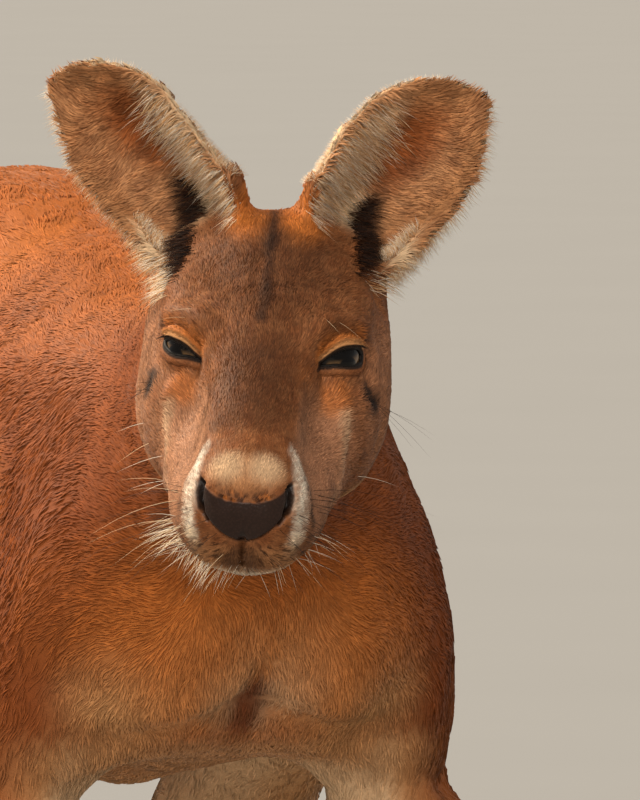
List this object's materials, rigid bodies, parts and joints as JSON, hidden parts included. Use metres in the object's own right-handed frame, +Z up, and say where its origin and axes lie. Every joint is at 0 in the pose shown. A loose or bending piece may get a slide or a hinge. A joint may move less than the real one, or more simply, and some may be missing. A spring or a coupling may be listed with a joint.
{
  "type": "red kangaroo",
  "caption": "Life-size male red kangaroo resting on its hands, feet and tail with its head turned to its right; a still model.",
  "frame": {"origin": "on the floor, under the middle of the animal's bounding box", "axes": "+Y from the head to the tail, so the animal faces -Y; +X to the animal's left; +Z up"},
  "size_m": [0.4268, 1.9226, 0.7024],
  "materials": {
    "coat": "short dense fur, rusty red, paler below",
    "ear": "thin short fur, paler inside",
    "eye": "wet, very dark brown",
    "claw": "worn black horn"
  },
  "bodies": {
    "root": {"abdomen": "coat", "chest": "coat", "claw_fifth_left": "claw", "claw_fifth_right": "claw", "claw_finger_1_left": "claw", "claw_finger_1_right": "claw", "claw_finger_2_left": "claw", "claw_finger_2_right": "claw", "claw_finger_3_left": "claw", "claw_finger_3_right": "claw", "claw_finger_4_left": "claw", "claw_finger_4_right": "claw", "claw_finger_5_left": "claw", "claw_finger_5_right": "claw", "claw_fourth_left": "claw", "claw_fourth_right": "claw", "claw_second_left": "claw", "claw_second_right": "claw", "claw_third_left": "claw", "claw_third_right": "claw", "ear_left": "ear", "ear_right": "ear", "eye_left": "eye", "eye_right": "eye", "foot_left": "coat", "foot_right": "coat", "forearm_left": "coat", "forearm_right": "coat", "hand_left": "coat", "hand_right": "coat", "head": "coat", "neck": "coat", "shank_left": "coat", "shank_right": "coat", "tail_1": "coat", "tail_2": "coat", "tail_3": "coat", "tail_4": "coat", "thigh_left": "coat", "thigh_right": "coat", "upper_arm_left": "coat", "upper_arm_right": "coat"}
  },
  "joints": []
}
